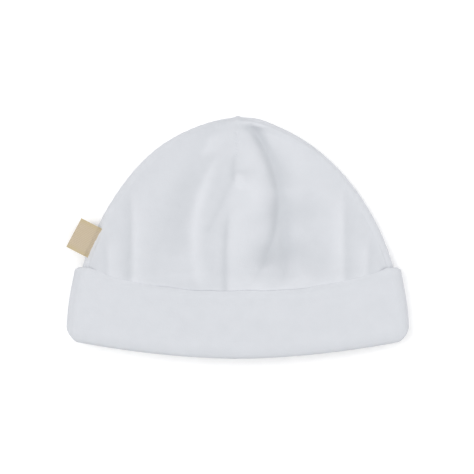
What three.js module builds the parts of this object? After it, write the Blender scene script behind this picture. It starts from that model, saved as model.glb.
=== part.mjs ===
// A baby's velour nightcap with a turned-up cuff, lying on its back.
// Millimetres. +X runs across the cap, +Y from the mouth to the tip, +Z up from the surface it lies on.
// Two cloth panels meet at a seam that runs round the outline, and the cuff is turned up over both.

import * as THREE from "three";
import { LoftGeometry } from "three/addons/geometries/LoftGeometry.js";

const { clamp, degToRad, lerp, radToDeg, smoothstep } = THREE.MathUtils;

// Outline of the crown, seen from above
const crownHalfWidth = 83;
const crownLength = 110.6; // from the line through the mouth's corners to the tip
const outlinePower = 1.79; // 2 would be an ellipse, and less is more pointed

// Cloth
const crownCloth = 1.8;
const cuffCloth = 2;
const gap = 0.3; // left between two pieces that touch

// How the cap lies: rolled edges, with the front puffed up over the flat back
const edgeRadius = 3.5; // outside of the roll where the back turns up into the front
const crownRise = 11; // of the front above the rolled edge
const mouthDroop = 0.5; // share of the rise that is lost from the cuff's free edge to the mouth
const bulgeAlong = 2.2; // more keeps the rise full for longer towards the tip
const bulgeAcross = 1.1; // less keeps it full for longer towards the sides
const seamAngle = 64; // degrees up the rolled edge, so that the seam shows on the front

// Mouth and cuff
const mouthDepth = 10.2; // of the mouth's middle below the corner line
const mouthSag = 8.5; // rise of the mouth's edge from its middle to its ends
const mouthPower = 1.8; // 2 would be a parabola, and more is flatter in the middle
const cornerRise = 6.5; // of the mouth's edge where it turns from front to back
const cornerBlunt = 0.3; // keeps the corner's curve from ending in a point at the side
const backTuck = 2; // how far the back's edge hides behind the front's
const cuffHeight = 34;
const lipSag = 11.5;
const lipPower = 2.4;
const lipFlare = 0.6; // extra room between the crown and the cuff's free edge, at the front
const flareLength = 9;
const settleStart = 2.5; // beyond the cuff's free edge, where the crown starts to settle off the cuff
const backSettle = 14; // length over which the crown's back comes down to the surface
const frontSettle = 45;

// Folds of the front
const foldHeight = 5;
const foldWidth = 10;
const foldFadeFoot = 2; // folds flatten from this far below the cuff's lip
const foldFadeTop = 5; // to this far above it
const foldEdgeStart = 3.2; // they also fade from this distance inside the outline
const foldEdgeEnd = 9; // to this distance

// Label: a folded tape sewn into the left seam
const labelWidth = 16.2; // along the seam
const labelReach = 11.6; // outwards from the seam
const labelPly = 0.5;
const labelSlit = 0.3; // between the two plies
const labelDroop = 1.6;
const labelPlace = 48.2; // of its middle above the corner line
const labelTurn = 153; // degrees from +X to the direction it points in

// Mesh fineness
const frontColumns = 64;
const frontRows = 18;
const backColumns = 36;
const backRows = 6;
const coveredRows = 0.3; // share of the rows that the cuff covers
const smallestShown = 0.25; // share of a column's length that the other rows keep
const footSpread = 0.82; // share of the mouth's width that the columns end on
const cuffRunSteps = 22;
const rollSteps = 8;
const foldArcSteps = 6;

// Sizes that follow from the ones above
const cuffStack = gap + cuffCloth;
const foldRadius = (crownCloth + cuffStack) / 2; // outside of the fold at the mouth
const foldCentre = (cuffStack - crownCloth) / 2;
const lipMiddle = cuffHeight - mouthDepth;
const rollInset = crownHalfWidth - edgeRadius;

// Main folds of the front. tip, middle and foot are where a fold's line passes: x as a share of the
// crown's half width, y as a share of its length. rise is a share of foldHeight, and left and right are
// its flanks as shares of foldWidth. sharp is 2 for a soft ridge and more for a flat one with steep flanks.
// footFade and tipFade are the shares of its length over which it fades in and out, and narrowing is the
// share of its width that it loses from foot to tip.
const folds = [
  {
    name: "centre puff", tip: [0.05, 0.76], middle: [0.06, 0.5], foot: [0.03, 0.16],
    rise: 0.2, left: 1.1, right: 1.0, sharp: 3,
    footFade: 0.2, tipFade: 0.16, narrowing: 0.1,
  },
  {
    name: "left crest", tip: [-0.072, 0.88], middle: [-0.253, 0.54], foot: [-0.205, 0.2],
    rise: 0.17, left: 0.45, right: 0.6, sharp: 1.8,
    footFade: 0.15, tipFade: 0.35, narrowing: 0.4,
  },
  {
    name: "left hollow", tip: [-0.2, 0.88], middle: [-0.385, 0.56], foot: [-0.37, 0.22],
    rise: -0.24, left: 1.2, right: 0.9, sharp: 2,
    footFade: 0.5, tipFade: 0.4, narrowing: 0.3,
  },
  {
    name: "right valley", tip: [0.066, 0.985], middle: [0.243, 0.62], foot: [0.038, 0.2],
    rise: -0.74, left: 1.4, right: 1.9, sharp: 1.3,
    footFade: 0.22, tipFade: 0.05, narrowing: 0.7,
  },
  {
    name: "valley slope", tip: [0.15, 0.9], middle: [0.3, 0.6], foot: [0.2, 0.2],
    rise: -0.33, left: 0.75, right: 1.7, sharp: 2,
    footFade: 0.3, tipFade: 0.3, narrowing: 0.4,
  },
  {
    name: "right branch", tip: [0.28, 0.5], middle: [0.285, 0.38], foot: [0.25, 0.2],
    rise: -0.16, left: 0.4, right: 0.7, sharp: 1.6,
    footFade: 0.4, tipFade: 0.3, narrowing: 0,
  },
  {
    name: "right hollow", tip: [0.45, 0.8], middle: [0.42, 0.53], foot: [0.45, 0.2],
    rise: -0.28, left: 1.2, right: 1.2, sharp: 2,
    footFade: 0.3, tipFade: 0.4, narrowing: 0.2,
  },
  {
    name: "left gather", tip: [-0.625, 0.72], middle: [-0.612, 0.46], foot: [-0.615, 0.2],
    rise: 0.12, left: 0.28, right: 0.6, sharp: 1.8,
    footFade: 0.1, tipFade: 0.4, narrowing: 0,
  },
  {
    name: "right gather", tip: [0.625, 0.72], middle: [0.613, 0.46], foot: [0.617, 0.2],
    rise: 0.13, left: 0.6, right: 0.35, sharp: 1.8,
    footFade: 0.1, tipFade: 0.4, narrowing: 0,
  },
  {
    name: "outer left gather", tip: [-0.775, 0.47], middle: [-0.765, 0.37], foot: [-0.763, 0.24],
    rise: 0.07, left: 0.25, right: 0.5, sharp: 1.8,
    footFade: 0.1, tipFade: 0.4, narrowing: 0,
  },
  {
    name: "outer right gather", tip: [0.775, 0.47], middle: [0.762, 0.37], foot: [0.76, 0.24],
    rise: 0.09, left: 0.5, right: 0.3, sharp: 1.8,
    footFade: 0.1, tipFade: 0.4, narrowing: 0,
  },
  {
    name: "upper left ridge", tip: [-0.13, 0.95], middle: [-0.17, 0.89], foot: [-0.21, 0.8],
    rise: 0.1, left: 0.3, right: 0.7, sharp: 2,
    footFade: 0.4, tipFade: 0.4, narrowing: 0,
  },
];

// Half of the crown's width at a distance y from the corner line
function halfWidthAt(y) {
  const share = clamp(y / crownLength, 0, 1);
  return crownHalfWidth * (1 - share ** 2) ** (1 / outlinePower);
}

// A point of the outline and its outward direction: 0 is the right corner, 90 the tip, 180 the left corner
function outlineAt(degrees) {
  const angle = degToRad(degrees);
  const across = Math.abs(Math.cos(angle)) ** (2 / outlinePower);
  const side = Math.sign(Math.cos(angle));
  const point = new THREE.Vector2(side * across * crownHalfWidth, Math.sin(angle) * crownLength);
  const steepness = (outlinePower * across ** (outlinePower - 1)) / crownHalfWidth;
  const normal = new THREE.Vector2(side * steepness, (2 * point.y) / crownLength ** 2).normalize();
  return { point, normal };
}

// The mouth's edge. facing is 1 on the front, -1 on the back and 0 where the edge turns between them.
function mouthY(x, facing) {
  const middle = mouthSag * (Math.min(Math.abs(x), rollInset) / crownHalfWidth) ** mouthPower - mouthDepth;
  const full = Math.hypot(cornerBlunt, 1);
  const turn = (full - Math.hypot(cornerBlunt, facing)) / (full - cornerBlunt);
  return middle + cornerRise * turn + (backTuck * (1 - facing)) / 2;
}

// The cuff's free edge
function lipY(x) {
  return lipMiddle + lipSag * Math.min(Math.abs(x) / rollInset, 1) ** lipPower;
}

// Where a panel ends, just inside the fold at the mouth. It keeps further off where the edge turns.
function panelEndY(x, facing) {
  return mouthY(x, facing) + foldRadius + gap * (1 + 4 * Math.sqrt(1 - facing ** 2));
}

// The crown lies on the cuff's back, and settles onto the surface beyond it
function liftAt(x, y, length) {
  return cuffStack * (1 - smoothstep(y - lipY(x), settleStart, settleStart + length));
}

function rollMiddleAt(x, y) {
  return liftAt(x, y, frontSettle) + edgeRadius;
}

// The puffed front, above the rolled edge
function bulgeAt(x, y) {
  const along = 1 - clamp(y / crownLength, 0, 1) ** bulgeAlong;
  const droop = 1 - mouthDroop * (1 - smoothstep(y, -mouthDepth, lipMiddle));
  const halfWidth = Math.max(halfWidthAt(y), edgeRadius);
  const across = Math.max(0, 1 - (Math.abs(x) / halfWidth) ** 2) ** bulgeAcross;
  return crownRise * along * droop * across;
}

// The height that one fold adds at a point
function foldAt(fold, x, y) {
  const [tipX, tipY] = fold.tip;
  const [footX, footY] = fold.foot;
  const along = (y / crownLength - footY) / (tipY - footY);
  if (along <= 0 || along >= 1) return 0;
  const line =
    footX * (1 - along) * (1 - 2 * along) + fold.middle[0] * 4 * along * (1 - along) + tipX * along * (2 * along - 1);
  const off = x - line * crownHalfWidth;
  const flank = (off < 0 ? fold.left : fold.right) * foldWidth * (1 - fold.narrowing * along);
  const ends = smoothstep(along, 0, fold.footFade) * (1 - smoothstep(along, 1 - fold.tipFade, 1));
  return fold.rise * foldHeight * Math.exp(-(Math.abs(off / flank) ** fold.sharp)) * ends;
}

function foldsAt(x, y) {
  const toOutline = Math.min(halfWidthAt(y) - Math.abs(x), crownLength - y);
  const edge = smoothstep(toOutline, foldEdgeStart, foldEdgeEnd);
  const cuff = smoothstep(y - lipY(x), -foldFadeFoot, foldFadeTop);
  return edge * cuff * folds.reduce((height, fold) => height + foldAt(fold, x, y), 0);
}

function frontZ(x, y) {
  return rollMiddleAt(x, y) + edgeRadius + bulgeAt(x, y) + foldsAt(x, y);
}

// Height of the rolled edge at an angle of roll degrees and an offset outwards from the crown's outside
function rollZ(x, y, roll, offset) {
  const middle = rollMiddleAt(x, y);
  const upright = Math.sin(degToRad(roll));
  if (roll >= 0) return middle + (edgeRadius + offset) * upright + bulgeAt(x, y);
  return middle + (middle - liftAt(x, y, backSettle) + offset) * upright;
}

// A point of the rolled edge beside a place on the outline
function rollPoint(degrees, roll, offset) {
  const { point, normal } = outlineAt(degrees);
  const inset = edgeRadius - (edgeRadius + offset) * Math.cos(degToRad(roll));
  const x = point.x - normal.x * inset;
  const y = point.y - normal.y * inset;
  return new THREE.Vector3(x, y, rollZ(x, y, roll, offset));
}

// Where a column of a panel meets the mouth's edge
function footOf(across, facing) {
  const spread = 0.35 * Math.abs(across) + 0.65 * Math.sin((Math.abs(across) * Math.PI) / 2) ** 1.1;
  const x = Math.sign(across) * spread * footSpread * rollInset;
  return new THREE.Vector2(x, panelEndY(x, facing));
}

// Rows of a column, as shares of its length. One falls just beyond the cuff's free edge, where the
// panel starts to settle.
function rowShares(inner, foot, rows) {
  const beyondLip = (share) => {
    const x = lerp(inner.x, foot.x, share);
    return lerp(inner.y, foot.y, share) - lipY(x) - settleStart;
  };
  let lip = 0;
  let under = 1;
  if (beyondLip(0) <= 0) under = 0;
  while (under - lip > 1e-4) {
    const half = (lip + under) / 2;
    if (beyondLip(half) > 0) lip = half;
    else under = half;
  }
  const covered = Math.max(1, Math.round(rows * coveredRows));
  const shown = rows - covered;
  const edge = Math.max(lip, smallestShown);
  const shares = [];
  for (let row = 1; row <= shown; row++) shares.push((edge * row) / shown);
  for (let row = 1; row <= covered; row++) shares.push(lerp(edge, 1, row / covered));
  return shares;
}

// The points halfway between the two faces of a section, which goes up one face and back down the other
function middleLine(section) {
  return section.map((point, index) => point.clone().lerp(section[section.length - 1 - index], 0.5));
}

// One panel: columns run from the seam, over the roll and in to the mouth's edge
function panelGeometry({ rolls, columns, rows, facing, surfaceZ }) {
  const sections = [];
  for (let column = 0; column <= columns; column++) {
    const across = 1 - (2 * column) / columns; // 1 at the right corner, -1 at the left
    const strip = rolls.map((roll) => {
      const endY = panelEndY(rollInset, Math.sin(degToRad(roll)));
      const start = radToDeg(Math.asin(endY / crownLength));
      const degrees = 90 - across * (90 - start);
      return [0, -crownCloth].map((offset) => rollPoint(degrees, roll, offset));
    });
    const inner = strip.at(-1)[0];
    const foot = footOf(across, facing);
    for (const share of rowShares(inner, foot, rows)) {
      const x = lerp(inner.x, foot.x, share);
      const y = lerp(inner.y, foot.y, share);
      const z = surfaceZ(x, y);
      strip.push([new THREE.Vector3(x, y, z), new THREE.Vector3(x, y, z - facing * crownCloth)]);
    }
    const outside = strip.map(([point]) => point);
    const inside = strip.map(([, point]) => point).reverse();
    const ring = [...outside, ...inside];
    sections.push(facing > 0 ? ring.reverse() : ring);
  }
  // each end closes on the middle line of the cloth
  sections.unshift(middleLine(sections[0]));
  sections.push(middleLine(sections.at(-1)));
  return new LoftGeometry(sections);
}

function frontPanelGeometry() {
  return panelGeometry({
    rolls: [seamAngle + seamGapAngle(), 90],
    columns: frontColumns,
    rows: frontRows,
    facing: 1,
    surfaceZ: frontZ,
  });
}

function backPanelGeometry() {
  const start = seamAngle - seamGapAngle();
  const rolls = [];
  for (let step = 0; step <= rollSteps; step++) rolls.push(lerp(start, -90, step / rollSteps));
  return panelGeometry({
    rolls,
    columns: backColumns,
    rows: backRows,
    facing: -1,
    surfaceZ: (x, y) => liftAt(x, y, backSettle),
  });
}

// Half of the angle that the gap at the seam takes at the inside of the cloth
function seamGapAngle() {
  return radToDeg(gap / (edgeRadius - crownCloth)) / 2;
}

// Stations round the cuff: share is the place across a run, and roll the angle on the rolled edge
function cuffStations() {
  const stations = [];
  for (let step = 0; step < cuffRunSteps; step++) {
    stations.push({ share: 1 - (2 * step) / cuffRunSteps, roll: 90 });
  }
  for (let step = 0; step < rollSteps; step++) {
    stations.push({ share: -1, roll: 90 - (180 * step) / rollSteps });
  }
  for (let step = 0; step < cuffRunSteps; step++) {
    stations.push({ share: (2 * step) / cuffRunSteps - 1, roll: -90 });
  }
  for (let step = 0; step < rollSteps; step++) {
    stations.push({ share: 1, roll: (180 * step) / rollSteps - 90 });
  }
  return stations;
}

// A point off the crown's outside at a station, at a distance y from the corner line
function cuffPoint({ share, roll }, y, offset) {
  const middleX = share * (halfWidthAt(y) - edgeRadius);
  const x = middleX + Math.sign(share) * (edgeRadius + offset) * Math.cos(degToRad(roll));
  return new THREE.Vector3(x, y, rollZ(x, y, roll, offset));
}

// The cuff's section: up the outside, over the rounded lip, down the inside and round the fold
function cuffSection(station) {
  const facing = Math.sin(degToRad(station.roll));
  const x = station.share * rollInset;
  const foldY = mouthY(x, facing) + foldRadius;
  const lip = lipY(x);
  const lipRadius = cuffCloth / 2;
  const roomAt = (y) => {
    const flare = lipFlare * ((1 + facing) / 2) * smoothstep(y, lip - flareLength, lip);
    const folds = facing > 0.99 ? foldsAt(station.share * (halfWidthAt(y) - edgeRadius), y) : 0;
    return gap + Math.max(flare, folds);
  };
  const heights = [0.12, 0.35, 0.6, 0.8, 0.92].map((share) => lerp(foldY, lip, share));
  const lipStart = lip - lipRadius;
  const points = [];
  for (let step = 0; step < foldArcSteps; step++) {
    const angle = Math.PI * (step / foldArcSteps);
    const offset = foldCentre - foldRadius * Math.cos(angle);
    points.push([foldY - foldRadius * Math.sin(angle), offset]);
  }
  for (const y of [foldY, ...heights, lipStart]) points.push([y, roomAt(y) + cuffCloth]);
  points.push([lip, roomAt(lip) + lipRadius]);
  for (const y of [lipStart, ...heights.reverse(), foldY]) points.push([y, roomAt(y)]);
  points.push([foldY, 0]);
  return points.map(([y, offset]) => cuffPoint(station, y, offset));
}

function cuffGeometry() {
  const sections = cuffStations().map(cuffSection);
  sections.push(sections[0]);
  return new LoftGeometry(sections);
}

// The label's profile is a hairpin: two plies joined by a round fold at the outer end
function labelGeometry() {
  const half = labelPly + labelSlit / 2;
  const slit = labelSlit / 2;
  const straight = labelReach - half;
  const fall = (reach) => -labelDroop * (reach / labelReach) ** 1.5;
  const steps = 5;
  const edge = (height) => {
    const points = [];
    for (let step = 0; step <= steps; step++) {
      const reach = (straight * step) / steps;
      points.push(new THREE.Vector2(reach, fall(reach) + height));
    }
    return points;
  };
  const turn = (radius, from, to) => {
    const points = [];
    for (let step = 1; step < steps; step++) {
      const angle = lerp(from, to, step / steps);
      const x = straight + radius * Math.cos(angle);
      points.push(new THREE.Vector2(x, fall(straight) + radius * Math.sin(angle)));
    }
    return points;
  };
  const outline = [
    ...edge(-half),
    ...turn(half, -Math.PI / 2, Math.PI / 2),
    ...edge(half).reverse(),
    ...edge(slit),
    ...turn(slit, Math.PI / 2, -Math.PI / 2),
    ...edge(-slit).reverse(),
  ];
  const geometry = new THREE.ExtrudeGeometry(new THREE.Shape(outline), {
    depth: labelWidth,
    bevelEnabled: false,
  });
  geometry.translate(0, 0, -labelWidth / 2);
  geometry.rotateX(Math.PI / 2); // profile upright, width across
  return geometry;
}

// The label lies on the seam, just clear of the cloth below it
function placeLabel(label) {
  const degrees = 180 - radToDeg(Math.asin(labelPlace / crownLength));
  const seam = rollPoint(degrees, seamAngle, 0);
  label.position.set(seam.x, seam.y, seam.z + gap + labelPly + labelSlit / 2);
  label.rotation.z = degToRad(labelTurn);
}

const velour = new THREE.MeshStandardMaterial({ color: 0xe6e9ee, roughness: 0.95, metalness: 0 });
const cuffVelour = new THREE.MeshStandardMaterial({ color: 0xe8ebf0, roughness: 0.95, metalness: 0 });
const tape = new THREE.MeshStandardMaterial({ color: 0xd2bf9f, roughness: 0.85, metalness: 0 });

function piece(name, geometry, material) {
  const mesh = new THREE.Mesh(geometry, material);
  mesh.name = name;
  return mesh;
}

const nightcap = new THREE.Group();
const label = piece("side_label", labelGeometry(), tape);
placeLabel(label);
nightcap.add(
  piece("front_panel", frontPanelGeometry(), velour),
  piece("back_panel", backPanelGeometry(), velour),
  piece("cuff", cuffGeometry(), cuffVelour),
  label,
);

// The origin is the middle of the base
const box = new THREE.Box3().setFromObject(nightcap);
const middle = box.getCenter(new THREE.Vector3());
nightcap.position.set(-middle.x, -middle.y, -box.min.z);

export default nightcap;
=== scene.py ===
# %% [markdown]
# # A baby's velour nightcap, lying on its back
#
# The real cap is two dome-shaped panels of cotton velour, sewn together round the outline, with a
# short dart at the front of the crown, a cuff turned up round the mouth, and a folded tape label in
# the left side seam. It weighs next to nothing, so it lies as a soft, low puff with shallow folds.
#
# The CAD solids come in first as a fixed frame. Every piece below is a finer surface in the same
# place: it repeats the shape rule of its solid, and adds what cloth does between those few faces.

# %% Load the frame
import math

import bpy
import numpy as np
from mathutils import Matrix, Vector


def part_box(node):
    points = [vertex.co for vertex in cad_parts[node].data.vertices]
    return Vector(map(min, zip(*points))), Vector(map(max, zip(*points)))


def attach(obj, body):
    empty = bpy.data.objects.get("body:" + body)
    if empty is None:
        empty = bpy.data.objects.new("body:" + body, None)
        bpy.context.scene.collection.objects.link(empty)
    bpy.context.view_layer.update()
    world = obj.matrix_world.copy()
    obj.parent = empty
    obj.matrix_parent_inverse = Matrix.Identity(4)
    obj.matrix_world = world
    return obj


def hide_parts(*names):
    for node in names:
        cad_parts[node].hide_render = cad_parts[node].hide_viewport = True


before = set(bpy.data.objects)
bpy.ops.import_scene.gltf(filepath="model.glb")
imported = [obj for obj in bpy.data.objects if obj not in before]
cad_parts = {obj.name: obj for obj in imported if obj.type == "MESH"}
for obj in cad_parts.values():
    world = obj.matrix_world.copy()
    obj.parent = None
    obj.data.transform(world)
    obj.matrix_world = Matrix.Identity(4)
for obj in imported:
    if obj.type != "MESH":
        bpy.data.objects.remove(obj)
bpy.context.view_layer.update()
print("nodes:", sorted(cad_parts))

# %% [markdown]
# ## Camera, floor and light
#
# The photograph looks straight down on the cap on a white sheet, with the tip at the top of the
# picture. A long lens high above gives that view with hardly any perspective. The light is that of a
# studio: an even sky that fills the folds, a very wide light overhead, a smaller one that leans in
# from the left and gives each fold a bright and a dark side, and a weak fill from the right. Sun lamps
# are used for all three, because their light is the same wherever the cap lies, and the angle of a sun
# lamp is the size of the softbox.

# %% Camera
PICTURE_SPAN = 0.237  # metres that the picture spans at the cap
PICTURE_CENTRE_Y = 0.00035
CAP_LEVEL = 0.012  # height of the cap's face above the floor
CAMERA_HEIGHT = 1.3
SENSOR_WIDTH = 36.0

camera_data = bpy.data.cameras.new("camera")
camera_data.sensor_width = SENSOR_WIDTH
camera_data.lens = SENSOR_WIDTH * (CAMERA_HEIGHT - CAP_LEVEL) / PICTURE_SPAN
camera = bpy.data.objects.new("camera", camera_data)
camera.location = (0.0, PICTURE_CENTRE_Y, CAMERA_HEIGHT)
bpy.context.scene.collection.objects.link(camera)
bpy.context.scene.camera = camera
print(f"lens {camera_data.lens:.0f} mm")


# %% Colours
def srgb(text):
    """An sRGB hex colour as linear RGBA."""
    values = [int(text[i : i + 2], 16) / 255 for i in (1, 3, 5)]
    linear = [v / 12.92 if v <= 0.04045 else ((v + 0.055) / 1.055) ** 2.4 for v in values]
    return (*linear, 1.0)


def add_node(tree, kind, settings=None, **links):
    """A shader or geometry node with its settings and its inputs: a socket to link, or a value."""
    node = tree.nodes.new(kind)
    for name, value in (settings or {}).items():
        setattr(node, name, value)
    for name, value in links.items():
        key = int(name[2:]) if name.startswith("in") and name[2:].isdigit() else name.replace("_", " ")
        if isinstance(value, bpy.types.NodeSocket):
            tree.links.new(value, node.inputs[key])
        else:
            node.inputs[key].default_value = value
    return node


def new_material(name):
    """A material with an empty tree and its output node."""
    material = bpy.data.materials.new(name)
    material.use_nodes = True
    material.node_tree.nodes.clear()
    return material, material.node_tree, material.node_tree.nodes.new("ShaderNodeOutputMaterial")


# %% Floor and light
FLOOR_SIZE = 4.0  # metres
SKY_STRENGTH = 0.4
TOP_STRENGTH = 1.3
TOP_SOFTNESS = 95.0  # degrees across
SIDE_STRENGTH = 0.8
SIDE_SOFTNESS = 30.0  # degrees across
SIDE_LEAN_LEFT = 30.0  # degrees
SIDE_LEAN_TOP = 5.0  # degrees, towards the top of the picture
FILL_STRENGTH = 0.5
FILL_SOFTNESS = 70.0  # degrees across
FILL_LEAN_RIGHT = 60.0  # degrees
PAPER_GLOW = 0.12  # the sheet is lit from below too, which washes out most of the shadow

bpy.ops.mesh.primitive_plane_add(size=FLOOR_SIZE)
floor = bpy.context.object
floor.name = "white_sheet"
paper, tree, output = new_material("matt white paper on a light table")
surface = add_node(
    tree,
    "ShaderNodeBsdfPrincipled",
    Base_Color=srgb("#FBFBFB"),
    Roughness=0.9,
    Specular_IOR_Level=0.1,
    Emission_Color=srgb("#FFFFFF"),
    Emission_Strength=PAPER_GLOW,
)
tree.links.new(surface.outputs[0], output.inputs[0])
floor.data.materials.append(paper)

sky = bpy.data.worlds.new("studio")
sky.use_nodes = True
sky.node_tree.nodes["Background"].inputs[0].default_value = srgb("#FFFFFF")
sky.node_tree.nodes["Background"].inputs[1].default_value = SKY_STRENGTH
bpy.context.scene.world = sky


def broad_light(name, strength, softness, lean_left, lean_top):
    """A sun lamp that shines down, leaning in from the left and the top of the picture."""
    data = bpy.data.lights.new(name, "SUN")
    data.energy = strength
    data.angle = math.radians(softness)
    light = bpy.data.objects.new(name, data)
    light.rotation_euler = (-math.radians(lean_top), -math.radians(lean_left), 0.0)
    bpy.context.scene.collection.objects.link(light)


broad_light("softbox overhead", TOP_STRENGTH, TOP_SOFTNESS, 0.0, 0.0)
broad_light("softbox at the left", SIDE_STRENGTH, SIDE_SOFTNESS, SIDE_LEAN_LEFT, SIDE_LEAN_TOP)
broad_light("fill from the right", FILL_STRENGTH, FILL_SOFTNESS, -FILL_LEAN_RIGHT, 0.0)
bpy.context.scene.view_settings.view_transform = "Standard"

# %% [markdown]
# ## The shape rule of the cap
#
# A flat cap is a shape that follows a rule: an outline, an edge that rolls over with a small radius,
# a puff above it and folds on the puff. Written with whole arrays of points, the rule gives every
# piece its surface at any fineness. Lengths are in millimetres, on the pattern that the solids use,
# where y runs from the line through the mouth's corners to the tip.

# %% Sizes of the cap
CROWN_HALF_WIDTH = 83.0
CROWN_LENGTH = 110.6
OUTLINE_POWER = 1.79
CROWN_CLOTH = 1.8
CUFF_CLOTH = 2.0
GAP = 0.3
EDGE_RADIUS = 3.5
CROWN_RISE = 11.0
BULGE_ALONG = 2.2  # power of the puff's fall towards the tip
BULGE_ACROSS = 1.1  # and towards the sides
MOUTH_DROOP = 0.5
SEAM_ANGLE = math.radians(64.0)
MOUTH_DEPTH = 10.2
MOUTH_SAG = 8.5
MOUTH_POWER = 1.8
CORNER_RISE = 5.4
CORNER_BLUNT = 0.08  # keeps the corner's curve from ending in a point at the side
BACK_TUCK = 2.0
CUFF_HEIGHT = 34.0
LIP_SAG = 11.5
LIP_POWER = 2.4
LIP_FLARE = 0.6
FLARE_LENGTH = 9.0
EDGE_WAVES = ((0.2, 7.0, 1.0), (0.15, 3.1, 0.0))  # height, slowness and start of the free edge's waves
SIDE_SLACK = 4.0  # gaps that the panels stay further from the fold at the sides
SETTLE_START = 2.5
BACK_SETTLE = 14.0
FRONT_SETTLE = 45.0

CUFF_STACK = GAP + CUFF_CLOTH
FOLD_RADIUS = (CROWN_CLOTH + CUFF_STACK) / 2
FOLD_CENTRE = (CUFF_STACK - CROWN_CLOTH) / 2
LIP_MIDDLE = CUFF_HEIGHT - MOUTH_DEPTH
ROLL_INSET = CROWN_HALF_WIDTH - EDGE_RADIUS


def ease(value, low, high):
    """0 below low, 1 above high, and smooth between."""
    share = np.clip((value - low) / (high - low), 0.0, 1.0)
    return share * share * (3.0 - 2.0 * share)


def half_width_at(y):
    """Half the crown's width at y."""
    share = np.clip(y / CROWN_LENGTH, 0.0, 1.0)
    return CROWN_HALF_WIDTH * (1.0 - share**2) ** (1.0 / OUTLINE_POWER)


def mouth_y(x, facing):
    """The mouth's edge: facing is 1 on the front, -1 on the back and 0 at the sides."""
    share = np.minimum(np.abs(x), ROLL_INSET) / CROWN_HALF_WIDTH
    middle = MOUTH_SAG * share**MOUTH_POWER - MOUTH_DEPTH
    at_side = math.hypot(CORNER_BLUNT, 1.0) - np.hypot(CORNER_BLUNT, facing)
    turn = at_side / (math.hypot(CORNER_BLUNT, 1.0) - CORNER_BLUNT)
    return middle + CORNER_RISE * turn + BACK_TUCK * (1.0 - facing) / 2.0


def lip_y(x):
    """The cuff's free edge."""
    return LIP_MIDDLE + LIP_SAG * np.minimum(np.abs(x) / ROLL_INSET, 1.0) ** LIP_POWER


def free_edge_y(x):
    """The cuff's free edge with its small waves."""
    return lip_y(x) + sum(height * np.sin(x / slowness + start) for height, slowness, start in EDGE_WAVES)


def panel_end_y(x, facing):
    """Where the panels end, just short of the cuff's fold."""
    turn = np.sqrt(np.clip(1.0 - facing**2, 0.0, 1.0))
    return mouth_y(x, facing) + FOLD_RADIUS + GAP * (1.0 + SIDE_SLACK * turn)


def lift_at(x, y, length):
    """How high the crown rests on the cuff's back, settling onto the floor beyond it."""
    return CUFF_STACK * (1.0 - ease(y - lip_y(x), SETTLE_START, SETTLE_START + length))


def bulge_at(x, y):
    """The puff of the front."""
    along = 1.0 - np.clip(y / CROWN_LENGTH, 0.0, 1.0) ** BULGE_ALONG
    droop = 1.0 - MOUTH_DROOP * (1.0 - ease(y, -MOUTH_DEPTH, LIP_MIDDLE))
    half_width = np.maximum(half_width_at(y), EDGE_RADIUS)
    across = np.maximum(0.0, 1.0 - (np.abs(x) / half_width) ** 2) ** BULGE_ACROSS
    return CROWN_RISE * along * droop * across


# %% [markdown]
# ## The folds
#
# The crown's cloth is cut for a round head, so when the cap lies flat the spare cloth gathers into
# long folds that run up from the cuff. Each fold is one row of a table: the line that it follows and
# the height, steepness and width of its two flanks. All of it is in shares of the cap's own sizes,
# as in the solids. The narrow creases that only the cloth's surface has come from a second table.
# A sculpted or simulated cloth would be another way, but a table can be read, and matched fold by fold.

# %% Fold tables
FOLD_HEIGHT = 5.0
FOLD_WIDTH = 10.0
FOLD_FADE_FOOT = 2.0
FOLD_FADE_TOP = 5.0
FOLD_EDGE_START = 3.2
FOLD_EDGE_END = 9.0

# name, tip (x, y), middle (x, y), foot (x, y), rise, left, right, sharp, foot fade, tip fade, narrowing
MAIN_FOLDS = [
    ("centre puff", (0.05, 0.76), (0.06, 0.5), (0.03, 0.16), 0.2, 1.1, 1.0, 3, 0.2, 0.16, 0.1),
    ("left crest", (-0.072, 0.88), (-0.253, 0.54), (-0.205, 0.2), 0.17, 0.45, 0.6, 1.8, 0.15, 0.35, 0.4),
    ("left hollow", (-0.2, 0.88), (-0.385, 0.56), (-0.37, 0.22), -0.24, 1.2, 0.9, 2, 0.5, 0.4, 0.3),
    ("right valley", (0.066, 0.985), (0.243, 0.62), (0.038, 0.2), -0.74, 1.4, 1.9, 1.3, 0.22, 0.05, 0.7),
    ("valley slope", (0.15, 0.9), (0.3, 0.6), (0.2, 0.2), -0.33, 0.75, 1.7, 2, 0.3, 0.3, 0.4),
    ("right branch", (0.28, 0.5), (0.285, 0.38), (0.25, 0.2), -0.16, 0.4, 0.7, 1.6, 0.4, 0.3, 0),
    ("right hollow", (0.45, 0.8), (0.42, 0.53), (0.45, 0.2), -0.28, 1.2, 1.2, 2, 0.3, 0.4, 0.2),
    ("left gather", (-0.625, 0.72), (-0.612, 0.46), (-0.615, 0.2), 0.12, 0.28, 0.6, 1.8, 0.1, 0.4, 0),
    ("right gather", (0.625, 0.72), (0.613, 0.46), (0.617, 0.2), 0.13, 0.6, 0.35, 1.8, 0.1, 0.4, 0),
    ("outer left gather", (-0.775, 0.47), (-0.765, 0.37), (-0.763, 0.24), 0.07, 0.25, 0.5, 1.8, 0.1, 0.4, 0),
    ("outer right gather", (0.775, 0.47), (0.762, 0.37), (0.76, 0.24), 0.09, 0.5, 0.3, 1.8, 0.1, 0.4, 0),
    ("upper left ridge", (-0.13, 0.95), (-0.17, 0.89), (-0.21, 0.8), 0.1, 0.3, 0.7, 2, 0.4, 0.4, 0),
]

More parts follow.
